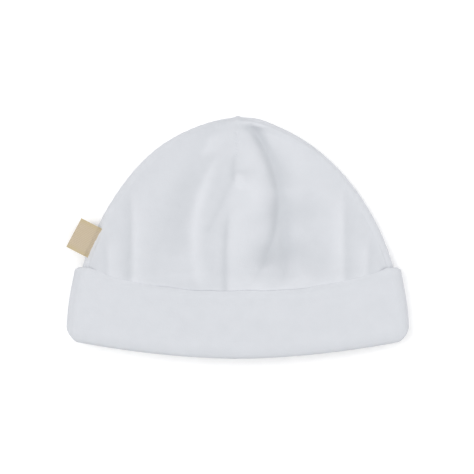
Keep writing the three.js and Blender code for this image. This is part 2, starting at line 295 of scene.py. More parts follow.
CREASES = [
    ("slanting crease", (-0.02, 0.74), (-0.11, 0.6), (-0.2, 0.45), -0.04, 0.3, 0.25, 1.5, 0.2, 0.2, 0),
    ("upright crease", (-0.055, 0.61), (-0.078, 0.417), (-0.076, 0.2), -0.12, 0.25, 0.2, 1.5, 0.05, 0.4, 0),
    ("dart crease", (-0.02, 0.86), (-0.028, 0.78), (-0.034, 0.69), -0.085, 0.25, 0.2, 1.5, 0.3, 0.5, 0),
    ("puff corner", (0.0, 0.76), (0.006, 0.71), (0.02, 0.66), 0.13, 0.22, 0.4, 1.6, 0.4, 0.4, 0),
    ("puff slope", (0.14, 0.66), (0.115, 0.5), (0.09, 0.3), -0.19, 0.8, 0.6, 2, 0.4, 0.4, 0),
    ("valley bottom", (0.255, 0.68), (0.232, 0.49), (0.15, 0.3), -0.5, 0.7, 1.2, 1.5, 0.3, 0.35, 0),
    ("branch crease", (0.29, 0.56), (0.285, 0.46), (0.285, 0.34), -0.13, 0.35, 0.5, 1.6, 0.4, 0.4, 0),
    ("valley head", (0.11, 0.985), (0.15, 0.925), (0.21, 0.82), 0.13, 0.35, 0.6, 1.8, 0.7, 0.2, 0),
    ("valley top", (0.1, 0.95), (0.137, 0.895), (0.17, 0.84), -0.13, 0.25, 0.25, 1.5, 0.4, 0.4, 0),
    ("right foot swell", (0.4, 0.44), (0.38, 0.33), (0.38, 0.2), 0.12, 1.0, 1.4, 2, 0.3, 0.5, 0),
    ("left foot swell", (-0.33, 0.46), (-0.34, 0.34), (-0.34, 0.22), 0.1, 0.9, 0.6, 2, 0.3, 0.5, 0),
    ("left gather crease", (-0.665, 0.72), (-0.657, 0.46), (-0.665, 0.2), -0.06, 0.4, 0.2, 1.8, 0.1, 0.4, 0),
    ("right gather crease", (0.665, 0.72), (0.656, 0.46), (0.665, 0.2), -0.045, 0.2, 0.4, 1.8, 0.1, 0.4, 0),
    ("outer left crease", (-0.81, 0.47), (-0.8, 0.37), (-0.8, 0.24), -0.03, 0.3, 0.2, 1.8, 0.1, 0.4, 0),
    ("outer right crease", (0.81, 0.47), (0.8, 0.37), (0.8, 0.24), -0.04, 0.2, 0.3, 1.8, 0.1, 0.4, 0),
]


def fold_height(fold, x, y):
    """The height that one fold adds at each point."""
    _, tip, middle, foot, rise, left, right, sharp, foot_fade, tip_fade, narrowing = fold
    along = (y / CROWN_LENGTH - foot[1]) / (tip[1] - foot[1])
    inside = (along > 0.0) & (along < 1.0)
    along = np.clip(along, 0.0, 1.0)
    line = (
        foot[0] * (1.0 - along) * (1.0 - 2.0 * along)
        + middle[0] * 4.0 * along * (1.0 - along)
        + tip[0] * along * (2.0 * along - 1.0)
    )
    off = x - line * CROWN_HALF_WIDTH
    flank = np.where(off < 0.0, left, right) * FOLD_WIDTH * (1.0 - narrowing * along)
    ends = ease(along, 0.0, foot_fade) * (1.0 - ease(along, 1.0 - tip_fade, 1.0))
    height = rise * FOLD_HEIGHT * np.exp(-np.abs(off / flank) ** sharp) * ends
    return np.where(inside, height, 0.0)


def free_folds_at(x, y, table):
    """The folds as they would be if neither the cuff nor the rolled edge held them flat."""
    return sum(fold_height(fold, x, y) for fold in table)


def folds_at(x, y, table):
    """The folds, held flat at the rolled edge and under the cuff."""
    to_outline = np.minimum(half_width_at(y) - np.abs(x), CROWN_LENGTH - y)
    edge = ease(to_outline, FOLD_EDGE_START, FOLD_EDGE_END)
    foot = ease(y - lip_y(x), -FOLD_FADE_FOOT, FOLD_FADE_TOP)
    return edge * foot * free_folds_at(x, y, table)


# %% [markdown]
# ## Painted light on the folds
#
# The colour is painted lighter on a crest, as a painted highlight, and darker in a valley, as
# painted shade. A point's height above the ring of points round it says which it is. This is worked out
# once from the fold tables and kept on the mesh as an attribute, which the material reads.

# %% Crest attribute: painted highlight and shade
CREST_RINGS = ((1.6, 1.5), (4.5, 0.4), (11.0, 0.15))  # radius of the ring, and how much it counts
CREST_DIRECTIONS = 8
CREST_GAIN = 2.0
PAINTED_EDGE_LIGHT = 0.3  # a painted highlight as well where the cloth bends over the cap's edge
PAINTED_EDGE_LIGHT_REACH = 6.0
CUFF_PAINTED_EDGE_LIGHT = 0.15  # share of it that the cuff shows
# a painted highlight along the cuff's free edge
PAINTED_LIP_LIGHT = 0.1
PAINTED_LIP_LIGHT_REACH = 1.2
FOLD_SHADE = 0.25  # painted shade where the cuff turns under at the mouth
FOLD_SHADE_REACH = 7.0


def painted_fold_light_at(x, y):
    """Painted light of the folds: from 0 in a valley, painted shade, to 1 on a crest, a painted highlight,
    and 0.5 on even cloth.
    """
    folds = MAIN_FOLDS + CREASES
    here = free_folds_at(x, y, folds)
    above = np.zeros(here.shape)
    for radius, weight in CREST_RINGS:
        ring = np.zeros(here.shape)
        for turn in np.arange(CREST_DIRECTIONS) * 2 * math.pi / CREST_DIRECTIONS:
            ring += free_folds_at(x + radius * math.cos(turn), y + radius * math.sin(turn), folds)
        above += weight * (here - ring / CREST_DIRECTIONS)
    return 0.5 + 0.5 * np.tanh(CREST_GAIN * above)


def painted_edge_light_at(x, y):
    """The painted highlight that the rolled edge adds."""
    return PAINTED_EDGE_LIGHT * (1.0 - ease(half_width_at(y) - np.abs(x), 0.0, PAINTED_EDGE_LIGHT_REACH))


def painted_lip_light_at(x, y):
    """The painted highlight along the cuff's free edge."""
    return PAINTED_LIP_LIGHT * np.exp(-(((y - free_edge_y(x)) / PAINTED_LIP_LIGHT_REACH) ** 2))


def cuff_painted_light_at(x, y):
    """The cuff's painted light: even, with a painted highlight at its two ends and along its free edge, and
    painted shade at the fold.
    """
    fold = 1.0 - ease(y - mouth_y(x, 1.0), 0.0, FOLD_SHADE_REACH)
    return 0.5 + CUFF_PAINTED_EDGE_LIGHT * painted_edge_light_at(x, y) + painted_lip_light_at(x, y) - FOLD_SHADE * fold


def set_painted_light(piece, crest):
    """Keep the painted light of every vertex on the mesh, as its crest attribute."""
    count = len(piece.data.vertices)
    places = np.empty(count * 3)
    piece.data.vertices.foreach_get("co", places)
    pattern = places.reshape(-1, 3) * 1000.0 - pattern_shift
    attribute = piece.data.attributes.new("crest", "FLOAT", "POINT")
    value = crest(pattern[:, 0], pattern[:, 1])
    attribute.data.foreach_set("value", value.astype(np.float32))


# %% [markdown]
# ## Uneven cloth
#
# No cloth lies perfectly smooth. A sum of slow waves in many directions, with chosen lengths and
# fixed phases, gives a gentle unevenness that is the same on every run.

# %% Slow waves
waves = np.random.default_rng(7)
WAVE_COUNT = 26
SHORTEST_WAVE = 9.0
LONGEST_WAVE = 30.0
wave_lengths = waves.uniform(SHORTEST_WAVE, LONGEST_WAVE, WAVE_COUNT)
wave_turns = waves.uniform(0.0, 2 * math.pi, WAVE_COUNT)
wave_starts = waves.uniform(0.0, 2 * math.pi, WAVE_COUNT)


def unevenness(x, y):
    """A smooth random height, about 1 at most."""
    total = np.zeros(np.broadcast(x, y).shape)
    for length, turn, start in zip(wave_lengths, wave_turns, wave_starts):
        place = (x * math.cos(turn) + y * math.sin(turn)) * 2 * math.pi / length
        total += np.sin(place + start) * length
    return total / (wave_lengths.sum() ** 0.5 * wave_lengths.mean() ** 0.5)


# %% [markdown]
# ## The rolled edge and its seam
#
# Round the outline the back panel turns up over a small radius, and the two panels meet at a seam
# just inside the outline. Both cloths dip into the seam, and its thread draws them into small
# puckers. A point near the edge is found from its place along the outline, its angle on the roll and
# its offset from the crown's outside.

# %% Points near the edge
PUCKER_SPACING = 6.5
PUCKER_DEPTH = 0.1
PUCKER_REACH = 5.0
SEAM_DIP = 0.15
SEAM_DIP_WIDTH = 0.8
SEAM_DIP_BESIDE = 0.05  # share of the dip that is left away from the upper left, where it shows most
SEAM_DIP_PLACE = -22.0  # of its deepest stretch, along the seam from the tip
SEAM_DIP_LENGTH = 20.0
PUCKER_DRIFTS = ((1.7, 23.0, 0.0), (1.1, 9.7, 2.0))  # turn, slowness and start of each, so none repeats
TIP_PEAK = 0.9
TIP_WIDTH = 1.8
SHOULDER = 0.7  # the outline stands out here, just right of the tip
SHOULDER_X = 10.0
SHOULDER_WIDTH = 6.0
SHOULDER_END = 0.5  # radians past the tip
LEFT_FULLNESS = 0.9
LEFT_FULLNESS_X = -42.0
LEFT_FULLNESS_WIDTH = 16.0


def outline_at(angle):
    """A point of the outline and its outward direction, at angles from 0 (right) to pi (left)."""
    across = np.abs(np.cos(angle)) ** (2.0 / OUTLINE_POWER)
    side = np.sign(np.cos(angle))
    point = np.stack([side * across * CROWN_HALF_WIDTH, np.sin(angle) * CROWN_LENGTH])
    steepness = OUTLINE_POWER * across ** (OUTLINE_POWER - 1.0) / CROWN_HALF_WIDTH
    normal = np.stack([side * steepness, 2.0 * point[1] / CROWN_LENGTH**2])
    return point, normal / np.linalg.norm(normal, axis=0)


def hump(x, place, width):
    """A smooth hump, 1 high at its place."""
    return np.exp(-(((x - place) / width) ** 2))


def seam_relief(to_seam, along_seam):
    """The dip into the seam and the puckers beside it, as an offset from the cloth's surface."""
    deepest = hump(along_seam, SEAM_DIP_PLACE, SEAM_DIP_LENGTH)
    shown = SEAM_DIP_BESIDE + (1.0 - SEAM_DIP_BESIDE) * deepest
    dip = -SEAM_DIP * shown * hump(to_seam, 0.0, SEAM_DIP_WIDTH)
    drift = sum(turn * np.sin(along_seam / slowness + start) for turn, slowness, start in PUCKER_DRIFTS)
    pucker = np.sin(2 * math.pi * along_seam / PUCKER_SPACING + drift)
    return dip + PUCKER_DEPTH * pucker * np.exp(-to_seam / PUCKER_REACH)


def roll_z(x, y, roll, offset):
    """The height of a point on the roll: half a circle above the edge's middle, and a flat arc below."""
    middle = lift_at(x, y, FRONT_SETTLE) + EDGE_RADIUS
    above = middle + (EDGE_RADIUS + offset) * np.sin(roll) + bulge_at(x, y)
    below = middle + (middle - lift_at(x, y, BACK_SETTLE) + offset) * np.sin(roll)
    return np.where(roll >= 0.0, above, below)


def roll_points(angle, roll, offset):
    """Points of the rolled edge, with the small ways in which the outline leaves its rule."""
    point, normal = outline_at(angle)
    peak = TIP_PEAK * hump(point[0], 0.0, TIP_WIDTH)
    shoulder = SHOULDER * hump(point[0], SHOULDER_X, SHOULDER_WIDTH) * (angle < math.pi / 2 + SHOULDER_END)
    fullness = LEFT_FULLNESS * hump(point[0], LEFT_FULLNESS_X, LEFT_FULLNESS_WIDTH) * (angle > math.pi / 2)
    inset = EDGE_RADIUS - (EDGE_RADIUS + offset + peak + shoulder + fullness) * np.cos(roll)
    x = point[0] - normal[0] * inset
    y = point[1] - normal[1] * inset
    return np.stack([x, y, roll_z(x, y, roll, offset)], axis=-1)


# %% [markdown]
# ## Meshes from grids of points
#
# Each piece of cloth is worked out as a grid of points: columns across the cap, and in each column a
# ring that goes up the outer face and back down the inner face. Joining neighbours gives a closed
# wall with its real thickness, made only of quads.

# %% Grid to mesh
cuff_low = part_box("cuff")[0]
panel_low, panel_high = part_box("back_panel")
pattern_shift = np.array(
    [
        1000.0 * (panel_low[0] + panel_high[0]) / 2,
        1000.0 * cuff_low[1] + MOUTH_DEPTH,
        0.0,
    ]
)
print("pattern sits at", np.round(pattern_shift, 2), "mm")

SHARP_FROM = math.radians(50.0)  # a cut edge of the cloth stays crisp


def mesh_from_rings(name, rings, closed):
    """A mesh object from rings[column, point, xyz] in pattern millimetres."""
    columns, points, _ = rings.shape
    index = np.arange(columns * points).reshape(columns, points)
    across = index if closed else index[:-1]
    following = np.roll(index, -1, axis=0) if closed else index[1:]
    ahead = np.roll(index, -1, axis=1)
    following_ahead = np.roll(following, -1, axis=1)
    ahead = ahead if closed else ahead[:-1]
    quads = np.stack([across, ahead, following_ahead, following], axis=-1).reshape(-1, 4)
    mesh = bpy.data.meshes.new(name)
    vertices = (rings + pattern_shift).reshape(-1, 3) * 0.001
    mesh.from_pydata(vertices.tolist(), [], quads.tolist())
    if not closed:
        close_ends(mesh, points, columns)
    mesh.validate()
    mesh.update()
    mesh.shade_smooth()
    mesh.set_sharp_from_angle(angle=SHARP_FROM)
    piece = bpy.data.objects.new(name, mesh)
    bpy.context.scene.collection.objects.link(piece)
    return piece


def close_ends(mesh, points, columns):
    """Fill the first and last ring with quads from the outer face to the inner face."""
    half = points // 2
    faces = [list(p.vertices) for p in mesh.polygons]
    last = (columns - 1) * points
    for k in range(half - 1):
        mate, next_mate = points - 1 - k, points - 2 - k
        faces.append([k, mate, next_mate, k + 1])
        faces.append([last + k, last + k + 1, last + next_mate, last + mate])
    vertices = [tuple(v.co) for v in mesh.vertices]
    mesh.clear_geometry()
    mesh.from_pydata(vertices, [], faces)


# %% [markdown]
# ## The two crown panels
#
# Both panels are built in one way. A column starts at the seam, goes over the roll, and runs in to
# the mouth's edge. The columns fan out from the mouth to the outline, much as the real folds do, so
# their points lie closest where the folds are.

# %% Dart and brow
DART_END = 0.72  # share of the crown's length where the dart runs out
DART_END_FADE = (-0.03, 0.05)  # shares on either side of that, over which it does
DART_TOP = 0.965
DART_TIP = 0.985
DART_X = -0.75
DART_DIP = 0.12
DART_WIDTH = 0.8
GATHER_HEIGHT = 0.13
GATHER_SPACING = 2.6
GATHER_REACH = 2.4
GATHER_FROM = 0.8  # shares of the length between which the gathers grow
GATHER_FULL = 0.86
BROW_HEIGHT = 1.3
BROW_START = -1.9
BROW_TOP = 0.6
BROW_END = 14.0
BROW_DENT = 0.25  # share of it that is missing below the puff, where the cloth is pulled tight
BROW_DENT_X = 10.0
BROW_DENT_WIDTH = 16.0
BROW_DENT_START = 3.0  # from the free edge, where the crown still touches the cuff
UNEVEN_HEIGHT = 0.16
UNEVEN_FROM = -2.0  # above the cuff's free edge, where the unevenness grows
UNEVEN_FULL = 3.0


def dart_at(x, y):
    """The sewn dart at the front of the crown: a fine groove with small gathers beside it."""
    share = y / CROWN_LENGTH
    present = ease(share, DART_END + DART_END_FADE[0], DART_END + DART_END_FADE[1])
    present = present * (1.0 - ease(share, DART_TOP, DART_TIP))
    off = np.abs(x - DART_X)
    groove = -DART_DIP * hump(off, 0.0, DART_WIDTH)
    gather = GATHER_HEIGHT * np.sin(2 * math.pi * y / GATHER_SPACING) * np.exp(-off / GATHER_REACH)
    return present * (groove + gather * ease(share, GATHER_FROM, GATHER_FULL))


def brow_at(x, y):
    """The crown swells up again where the cuff's free edge presses into it."""
    above = y - free_edge_y(x)
    to_outline = np.minimum(half_width_at(y) - np.abs(x), CROWN_LENGTH - y)
    swell = ease(above, BROW_START, BROW_TOP) * (1.0 - ease(above, BROW_TOP, BROW_END))
    dent = BROW_DENT * hump(x, BROW_DENT_X, BROW_DENT_WIDTH) * ease(above, 0.0, BROW_DENT_START)
    return BROW_HEIGHT * swell * (1.0 - dent) * ease(to_outline, FOLD_EDGE_START, FOLD_EDGE_END)


def front_surface(x, y):
    """The outer face of the front, inside the rolled edge."""
    height = lift_at(x, y, FRONT_SETTLE) + 2 * EDGE_RADIUS + bulge_at(x, y)
    height = height + folds_at(x, y, MAIN_FOLDS) + folds_at(x, y, CREASES) + dart_at(x, y) + brow_at(x, y)
    shown = ease(y - lip_y(x), UNEVEN_FROM, UNEVEN_FULL)
    return height + UNEVEN_HEIGHT * unevenness(x, y) * shown


def back_surface(x, y):
    """The outer face of the back, which lies on the cuff and on the floor."""
    return lift_at(x, y, BACK_SETTLE)


# %% Panel columns
ROWS_ABOVE_LIP = 0.86  # share of a column's rows that lie above the cuff's free edge
ROW_CROWDING = 1.3  # how much closer the rows lie towards the free edge
HALVINGS = 20  # of a column, to find the row on the free edge
PUCKER_RUN = 190.0  # counted from the tip to each side, so the puckers lie a little closer than stated
FAN_EVEN = 0.35  # how evenly the columns are spread at the mouth, from 0 to 1
FAN_POWER = 1.1
FAN_REACH = 0.82  # share of the mouth's width that they reach


def row_shares(top, foot_x, foot_y, rows):
    """Places of the rows down each column, with one row on the cuff's free edge."""
    low, high = np.zeros(foot_x.shape), np.ones(foot_x.shape)
    for _ in range(HALVINGS):
        middle = (low + high) / 2
        x = top[:, :1] + (foot_x - top[:, :1]) * middle
        y = top[:, 1:2] + (foot_y - top[:, 1:2]) * middle
        above = y > free_edge_y(x)
        low, high = np.where(above, middle, low), np.where(above, high, middle)
    lip = np.clip(low, 0.04, 0.96)
    count = round(rows * ROWS_ABOVE_LIP)
    upper = 1.0 - (1.0 - np.arange(1, count + 1) / count) ** ROW_CROWDING
    lower = (np.arange(1, rows - count + 1) / (rows - count)) ** ROW_CROWDING
    return np.concatenate([lip * upper, lip + (1.0 - lip) * lower], axis=1)


def panel_rings(rolls, columns, rows, facing, surface, crowding):
    """The columns of a panel: over the roll, in to the mouth and back along the inner face."""
    spread = np.linspace(1.0, -1.0, columns + 1)
    across = (np.sign(spread) * np.abs(spread) ** crowding)[:, None]
    roll = np.asarray(rolls)[None, :]
    end_y = panel_end_y(ROLL_INSET, np.sin(roll))
    start = np.arcsin(end_y / CROWN_LENGTH)
    angle = math.pi / 2 - across * (math.pi / 2 - start)
    along = across * PUCKER_RUN + 0 * roll
    to_seam = np.abs(roll - SEAM_ANGLE) * EDGE_RADIUS + 0 * across
    relief = seam_relief(to_seam, along)
    outer = roll_points(angle, roll + 0 * across, relief)
    inner = roll_points(angle, roll + 0 * across, -CROWN_CLOTH + 0 * relief)

    top = outer[:, -1, :]
    bent = np.sin(np.abs(across) * math.pi / 2) ** FAN_POWER
    fan = FAN_EVEN * np.abs(across) + (1.0 - FAN_EVEN) * bent
    foot_x = np.sign(across) * fan * FAN_REACH * ROLL_INSET
    foot_y = panel_end_y(foot_x, facing)
    share = row_shares(top, foot_x, foot_y, rows)
    x = top[:, :1] + (foot_x - top[:, :1]) * share
    y = top[:, 1:2] + (foot_y - top[:, 1:2]) * share
    from_roll = np.hypot(x - top[:, :1], y - top[:, 1:2])
    to_edge = from_roll + abs(roll[0, -1] - SEAM_ANGLE) * EDGE_RADIUS
    puckers = seam_relief(to_edge, along[:, :1] + 0 * share)
    z = surface(x, y)
    flat_outer = np.stack([x, y, z + facing * puckers], axis=-1)
    flat_inner = np.stack([x, y, z - facing * CROWN_CLOTH + 0 * puckers], axis=-1)
    outside = np.concatenate([outer, flat_outer], axis=1)
    inside = np.concatenate([inner, flat_inner], axis=1)
    rings = np.concatenate([outside, inside[:, ::-1]], axis=1)
    return rings[:, ::-1] if facing < 0 else rings


# %% Front panel
SEAM_OPENING = 0.001  # radians of the roll between each panel and the seam's middle
FRONT_COLUMNS = 300
FRONT_ROWS = 120
FRONT_CROWDING = 1.15  # how much closer the columns lie towards the middle
FRONT_ROLL_STEPS = 3

front_rolls = np.linspace(SEAM_ANGLE + SEAM_OPENING, math.pi / 2, FRONT_ROLL_STEPS)
front_panel = mesh_from_rings(
    "front_panel_cloth",
    panel_rings(front_rolls, FRONT_COLUMNS, FRONT_ROWS, 1, front_surface, FRONT_CROWDING),
    closed=False,
)
print("front panel:", len(front_panel.data.polygons), "quads")

# %% Back panel
BACK_COLUMNS = 260
BACK_ROWS = 40
BACK_CROWDING = 1.0
BACK_ROLL_STEPS = 30

back_rolls = np.linspace(SEAM_ANGLE - SEAM_OPENING, -math.pi / 2, BACK_ROLL_STEPS)
back_panel = mesh_from_rings(
    "back_panel_cloth",
    panel_rings(back_rolls, BACK_COLUMNS, BACK_ROWS, -1, back_surface, BACK_CROWDING),
    closed=False,
)
print("back panel:", len(back_panel.data.polygons), "quads")


# %% [markdown]
# ## The turned-up cuff
#
# The cuff is one ring of cloth. Its section goes up the outside, over the free edge, down the inside
# and round the soft fold at the mouth, and it is carried round the cap: across the front, over the
# left edge, across the back and over the right edge.

# %% Cuff
LIP_SOFTENING = 1.2  # the pile rounds the free edge off by this much
PILE_FULLNESS = 0.8  # how far the pile stands out beyond the cloth at the cuff's two sides
SIDE_SEAM_DIP = 0.3
SIDE_SEAM_WIDTH = 0.13  # radians of the rolled edge
SIDE_SEAM_ANGLE = math.radians(44.0)
SOFTENING_LENGTH = 5.0
CUFF_UNEVEN = 0.14
CUFF_UNEVEN_SHIFT = 300.0  # takes the unevenness from elsewhere, so that it doesn't repeat the crown's
CUFF_UNEVEN_BACK = 0.3  # share of it on the back
CUFF_DENT = -0.4  # a soft hollow in the cuff, below the puff
CUFF_DENT_PLACE = (7.0, 17.0)
CUFF_DENT_SIZE = (16.0, 6.0)
FLOOR_CLEARANCE = 0.02
CUFF_FRONT_STEPS = 280
CUFF_BACK_STEPS = 140
CUFF_SIDE_STEPS = 30
FOLD_STEPS = 16
OUTSIDE_STEPS = 56
LIP_STEPS = 8
INSIDE_STEPS = 12


def cuff_stations(front, back, turn):
    """Place across a run and angle on the rolled edge, all the way round."""
    quarter = math.pi / 2
    runs = [
        (np.linspace(1, -1, front, endpoint=False), np.full(front, quarter)),
        (np.full(turn, -1.0), np.linspace(quarter, -quarter, turn, endpoint=False)),
        (np.linspace(-1, 1, back, endpoint=False), np.full(back, -quarter)),
        (np.full(turn, 1.0), np.linspace(-quarter, quarter, turn, endpoint=False)),
    ]
    share = np.concatenate([run[0] for run in runs])[:, None]
    roll = np.concatenate([run[1] for run in runs])[:, None]
    return share, roll


def cuff_rings():
    """The cuff's section at every station round the cap."""
    share, roll = cuff_stations(CUFF_FRONT_STEPS, CUFF_BACK_STEPS, CUFF_SIDE_STEPS)
    facing = np.sin(roll)
    on_front = facing > 0.99
    x = share * ROLL_INSET
    fold_y = mouth_y(x, facing) + FOLD_RADIUS
    lip = free_edge_y(x)
    lip_radius = CUFF_CLOTH / 2
    flare = LIP_FLARE * (1.0 + facing) / 2.0
    softening = LIP_SOFTENING * ease(facing, 0.5, 1.0)

    def room_at(y):
        clear = folds_at(share * (half_width_at(y) - EDGE_RADIUS), y, MAIN_FOLDS)
        clear = np.where(on_front, clear, 0.0)
        return GAP + np.maximum(flare * ease(y, lip - FLARE_LENGTH, lip), clear)

    points = []
    for angle in np.linspace(0.0, math.pi, FOLD_STEPS, endpoint=False):
        offset = FOLD_CENTRE - FOLD_RADIUS * math.cos(angle)
        points.append((fold_y - FOLD_RADIUS * math.sin(angle), offset + 0 * x, math.sin(angle / 2)))
    for step in np.linspace(0.0, 1.0, OUTSIDE_STEPS):
        y = fold_y + (lip - lip_radius - fold_y) * step
        soft = softening * ease(y, lip - SOFTENING_LENGTH, lip) ** 2
        points.append((y, room_at(y) + CUFF_CLOTH - soft, 1.0))
    for angle in np.linspace(0.0, math.pi, LIP_STEPS)[1:-1]:
        y = lip - lip_radius + lip_radius * math.sin(angle)
        across = (2 * lip_radius - softening) / 2
        points.append((y, room_at(y) + across * (1.0 + math.cos(angle)), 0.0))
    for step in np.linspace(1.0, 0.0, INSIDE_STEPS):
        y = fold_y + (lip - lip_radius - fold_y) * step
        points.append((y, room_at(y), 0.0))
    points.append((fold_y, 0 * x, 0.0))

    rings = []
    for y, offset, shown in points:
        middle_x = share * (half_width_at(y) - EDGE_RADIUS)
        slow = CUFF_UNEVEN * unevenness(middle_x + CUFF_UNEVEN_SHIFT, y) * shown
        dent = CUFF_DENT * hump(middle_x, CUFF_DENT_PLACE[0], CUFF_DENT_SIZE[0])
        dent = dent * hump(y, CUFF_DENT_PLACE[1], CUFF_DENT_SIZE[1]) * shown
        side_seam = hump(roll, SIDE_SEAM_ANGLE, SIDE_SEAM_WIDTH) * (share < 0.0)
        fullness = PILE_FULLNESS * np.cos(roll) ** 2 - SIDE_SEAM_DIP * side_seam
        offset = offset + np.where(on_front, slow + dent, slow * CUFF_UNEVEN_BACK) + fullness * shown
        place_x = middle_x + np.sign(share) * (EDGE_RADIUS + offset) * np.cos(roll)
        height = roll_z(place_x, y, roll, offset)
        rings.append(np.stack([place_x, y + 0 * height, height], axis=-1)[:, 0, :])
    rings = np.stack(rings, axis=1)
    rings[:, :, 2] = np.maximum(rings[:, :, 2], FLOOR_CLEARANCE)
    return rings


cuff = mesh_from_rings("cuff_cloth", cuff_rings()[:, ::-1], closed=True)
print("cuff:", len(cuff.data.polygons), "quads")

# %% [markdown]
# ## The side label
#
# The label is a strip of woven tape, folded once and sewn into the seam by both ends, so it shows as
# a flat loop. It is bare here. Its section is a hairpin, and a slight curl keeps it from looking like
# card.

# %% Label
LABEL_WIDTH = 16.2
LABEL_REACH = 11.6
LABEL_PLY = 0.5
LABEL_SLIT = 0.3
LABEL_DROOP = 1.6
LABEL_PLACE = 48.3
LABEL_TURN = math.radians(153.0)
LABEL_SEWN = 2.2  # length over which the plies close up and go down into the seam
LABEL_TUCK = 0.3
LABEL_SINK = 0.5
LABEL_SPLAY = 0.02  # how much further the lower side reaches than the upper
LABEL_PRESSED = 0.4  # share of its thickness that the seam presses out of it
LABEL_CURL = 0.35
LABEL_COLUMNS = 36
LABEL_REACH_STEPS = 26
LABEL_BEND_STEPS = 12


def label_root():
    """The middle of the label's root, on the seam."""
    angle = math.pi - math.asin(LABEL_PLACE / CROWN_LENGTH)
    return roll_points(np.array(angle), np.array(SEAM_ANGLE), 0.0)


def label_rings():
    """The folded tape's section, a hairpin, at every column across its width."""
    half = LABEL_PLY + LABEL_SLIT / 2
    slit = LABEL_SLIT / 2
    straight = LABEL_REACH - half
    reach = np.linspace(0.0, straight, LABEL_REACH_STEPS)
    fall = -LABEL_DROOP * (reach / LABEL_REACH) ** 1.5
    bend = np.linspace(-math.pi / 2, math.pi / 2, LABEL_BEND_STEPS)[1:-1]

    def hairpin(radius):
        lower = np.stack([reach, fall - radius], axis=-1)
        round_end = np.stack([straight + radius * np.cos(bend), fall[-1] + radius * np.sin(bend)], axis=-1)
        upper = np.stack([reach, fall + radius], axis=-1)[::-1]
        return np.concatenate([lower, round_end, upper])

    profile = np.concatenate([hairpin(half), hairpin(slit)[::-1]])
    sewn = 1.0 - ease(profile[:, 0], 0.0, LABEL_SEWN)
    profile[:, 1] *= 1.0 - LABEL_PRESSED * sewn
    profile[:, 1] -= (GAP + half + LABEL_SINK) * sewn
    profile[:, 0] -= LABEL_TUCK * sewn
    origin = label_root() + np.array([0.0, 0.0, GAP + half])
    rings = []
    for across in np.linspace(-0.5, 0.5, LABEL_COLUMNS):
        side = across * LABEL_WIDTH
        curl = LABEL_CURL * np.sin(across * math.pi * 2 + 0.6) * (profile[:, 0] / LABEL_REACH)
        reached = profile[:, 0] * (1.0 + LABEL_SPLAY * across)
        x = origin[0] + reached * math.cos(LABEL_TURN) - side * math.sin(LABEL_TURN)
        y = origin[1] + reached * math.sin(LABEL_TURN) + side * math.cos(LABEL_TURN)
        rings.append(np.stack([x, y, origin[2] + profile[:, 1] + curl], axis=-1))
    return np.stack(rings)


side_label = mesh_from_rings("side_label_tape", label_rings(), closed=False)
print("label:", len(side_label.data.polygons), "quads")

# %% [markdown]
# ## Stitches
#
# The dart is closed with a zigzag of white thread, and a row of short stitches holds the label in its
# seam. A stitch is one small bead of thread, pressed into the pile. Geometry Nodes put a copy of it
# on every point of a path and turn it the way the path says, so the thread's size and the length of
# a stitch are two numbers.

# %% Stitch tree
def stitch_tree():
    tree = bpy.data.node_groups.new("stitches on points", "GeometryNodeTree")
    for name, kind in [
        ("Points", "NodeSocketGeometry"),
        ("Stitch length", "NodeSocketFloat"),
        ("Thread thickness", "NodeSocketFloat"),
        ("Thread", "NodeSocketMaterial"),
    ]:
        tree.interface.new_socket(name, in_out="INPUT", socket_type=kind)
    tree.interface.new_socket("Stitches", in_out="OUTPUT", socket_type="NodeSocketGeometry")
    given = add_node(tree, "NodeGroupInput").outputs
    bead = add_node(tree, "GeometryNodeMeshUVSphere", Segments=8, Rings=6, Radius=0.5)
    size = add_node(
        tree,
        "ShaderNodeCombineXYZ",
        X=given["Stitch length"],
        Y=given["Thread thickness"],
        Z=given["Thread thickness"],
    )
    stitch = add_node(tree, "GeometryNodeTransform", Geometry=bead.outputs[0], Scale=size.outputs[0])
    along = add_node(tree, "GeometryNodeInputNamedAttribute", {"data_type": "FLOAT_VECTOR"}, Name="along")
    turn = add_node(tree, "FunctionNodeAlignRotationToVector", {"axis": "X"}, Vector=along.outputs[0])
    copies = add_node(
        tree,
        "GeometryNodeInstanceOnPoints",
        Points=given["Points"],
        Instance=stitch.outputs[0],
        Rotation=turn.outputs[0],
    )
    real = add_node(tree, "GeometryNodeRealizeInstances", Geometry=copies.outputs[0])
    smooth = add_node(tree, "GeometryNodeSetShadeSmooth", Geometry=real.outputs[0])
    done = add_node(tree, "GeometryNodeSetMaterial", Geometry=smooth.outputs[0], Material=given["Thread"])
    result = tree.nodes.new("NodeGroupOutput")
    tree.links.new(done.outputs[0], result.inputs[0])
    return tree


stitches_on_points = stitch_tree()


def sew(name, places, directions, length, thickness, thread):
    """Stitches at places (pattern millimetres), each lying along its direction."""
    mesh = bpy.data.meshes.new(name + "_points")
    mesh.from_pydata(((np.array(places) + pattern_shift) * 0.001).tolist(), [], [])
    along = mesh.attributes.new("along", "FLOAT_VECTOR", "POINT")
    along.data.foreach_set("vector", np.array(directions, dtype=np.float32).ravel())
    carrier = bpy.data.objects.new(name + "_points", mesh)
    bpy.context.scene.collection.objects.link(carrier)
    modifier = carrier.modifiers.new("stitches", "NODES")
    modifier.node_group = stitches_on_points
    names = {item.name: item.identifier for item in stitches_on_points.interface.items_tree}
    modifier[names["Stitch length"]] = length * 0.001
    modifier[names["Thread thickness"]] = thickness * 0.001
    modifier[names["Thread"]] = thread
    bpy.context.view_layer.update()
    evaluated = carrier.evaluated_get(bpy.context.evaluated_depsgraph_get())
    piece = bpy.data.objects.new(name, bpy.data.meshes.new_from_object(evaluated))
    piece.data.name = name
    bpy.data.objects.remove(carrier)
    bpy.context.scene.collection.objects.link(piece)
    print(name, len(places), "stitches,", len(piece.data.polygons), "faces")
    return piece


# %% Thread material
WAVE_SCALE = 0.314  # a Wave texture repeats every 0.314 / scale
PLY_SPACING = 0.0004  # metres; the real 0.2 mm is drawn twice as coarse so that it can show


